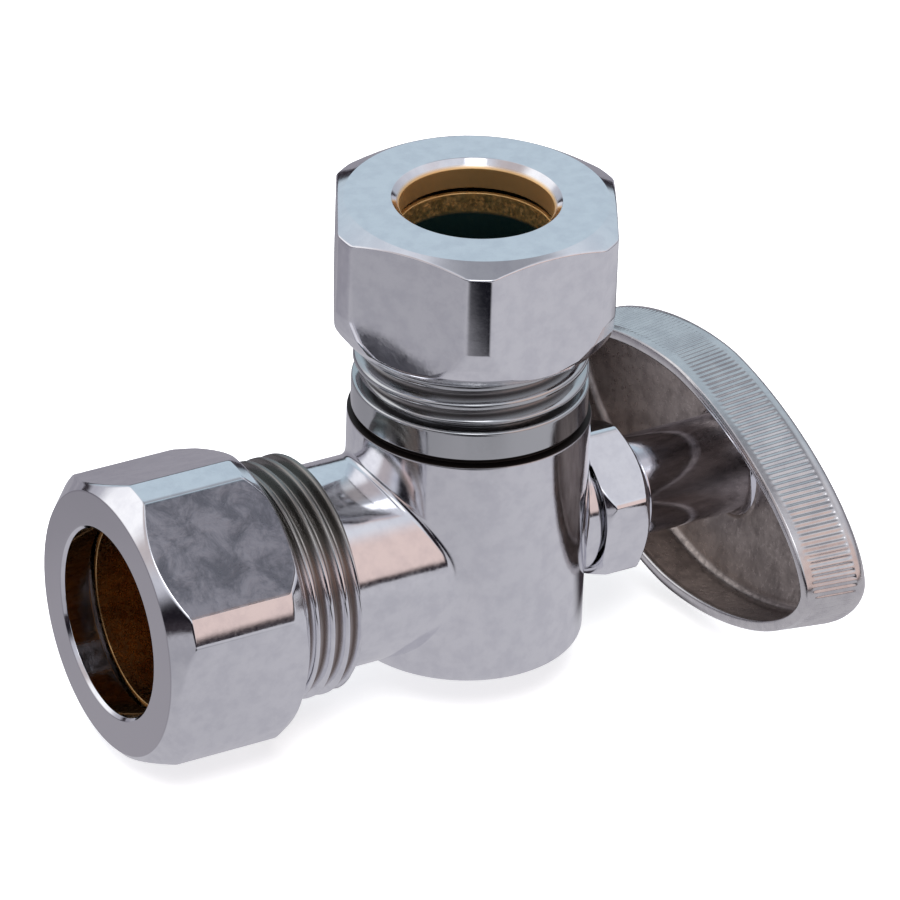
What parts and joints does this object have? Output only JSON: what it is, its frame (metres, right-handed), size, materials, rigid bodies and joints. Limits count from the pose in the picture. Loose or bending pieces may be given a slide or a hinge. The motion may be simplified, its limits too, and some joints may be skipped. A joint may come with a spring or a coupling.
{
  "type": "angle stop valve",
  "caption": "Right-angle shut-off valve with compression inlet and outlet, a rising threaded stem and an oval handle.",
  "frame": {"origin": "centre of the inlet tube stop, where the end of the supply pipe seats", "axes": "+X from the inlet along the stem to the handle, +Z out of the outlet, +Y to the side, along the handle's length"},
  "size_m": [0.0625, 0.0458, 0.0449],
  "materials": {
    "body_chrome": "polished plating",
    "inlet_nut_chrome": "polished plating",
    "inlet_ferrule_brass": "machined",
    "outlet_nut_chrome": "polished plating",
    "outlet_ferrule_brass": "machined",
    "packing_nut_chrome": "polished plating",
    "packing_graphite": "graphite packing, matt",
    "follower_brass": "machined",
    "stem_brass": "machined",
    "holder_brass": "machined",
    "seat_rubber": "matt",
    "seat_screw_brass": "machined",
    "retainer_steel": "spring steel",
    "handle_chrome": "polished plating",
    "lock_washer_steel": "stainless",
    "handle_screw_chrome": "polished plating"
  },
  "bodies": {
    "valve_body": {"valve_body": "body_chrome"},
    "seat_disc": {"seat_disc_holder": "holder_brass", "seat_washer": "seat_rubber", "seat_washer_screw": "seat_screw_brass"},
    "stem": {"stem": "stem_brass", "disc_retaining_ring": "retainer_steel", "handle": "handle_chrome", "handle_lock_washer": "lock_washer_steel", "handle_screw": "handle_screw_chrome"},
    "inlet_ferrule": {"inlet_ferrule": "inlet_ferrule_brass"},
    "inlet_nut": {"inlet_compression_nut": "inlet_nut_chrome"},
    "outlet_ferrule": {"outlet_ferrule": "outlet_ferrule_brass"},
    "outlet_nut": {"outlet_compression_nut": "outlet_nut_chrome"},
    "packing": {"stem_packing": "packing_graphite", "packing_follower": "follower_brass"},
    "packing_nut": {"packing_nut": "packing_nut_chrome"}
  },
  "joints": [
    {"name": "stem_travel", "type": "slide", "parent": "valve_body", "child": "seat_disc", "axis": [1, 0, 0], "range_m": [0, 0.00401]},
    {"name": "handle_turn", "type": "hinge", "parent": "seat_disc", "child": "stem", "pos_m": [0.0155, 0, 0], "axis": [1, 0, 0], "range_deg": [0, 900]},
    {"name": "inlet_ferrule_slide", "type": "slide", "parent": "valve_body", "child": "inlet_ferrule", "axis": [1, 0, 0], "range_m": [-0.00145, 0.00285]},
    {"name": "inlet_nut_turn", "type": "hinge", "parent": "inlet_ferrule", "child": "inlet_nut", "pos_m": [-0.0122, 0, 0], "axis": [1, 0, 0], "range_deg": [-360, 720]},
    {"name": "outlet_ferrule_slide", "type": "slide", "parent": "valve_body", "child": "outlet_ferrule", "axis": [0, 0, 1], "range_m": [-0.00185, 0.00185]},
    {"name": "outlet_nut_turn", "type": "hinge", "parent": "outlet_ferrule", "child": "outlet_nut", "pos_m": [0.0155, 0, 0.0258], "axis": [0, 0, 1], "range_deg": [-360, 360]},
    {"name": "packing_slide", "type": "slide", "parent": "valve_body", "child": "packing", "axis": [1, 0, 0], "range_m": [0, 0.0005]},
    {"name": "packing_nut_turn", "type": "hinge", "parent": "packing", "child": "packing_nut", "pos_m": [0.028, 0, 0], "axis": [1, 0, 0], "range_deg": [0, 181]}
  ],
  "couplings": [
    {"joint": "stem_travel", "follows": "handle_turn", "m_per_rad": 0.00025465},
    {"joint": "inlet_ferrule_slide", "follows": "inlet_nut_turn", "m_per_rad": 0.00022457},
    {"joint": "outlet_ferrule_slide", "follows": "outlet_nut_turn", "m_per_rad": 0.00028648},
    {"joint": "packing_nut_turn", "follows": "packing_slide", "rad_per_m": 6283.2}
  ]
}
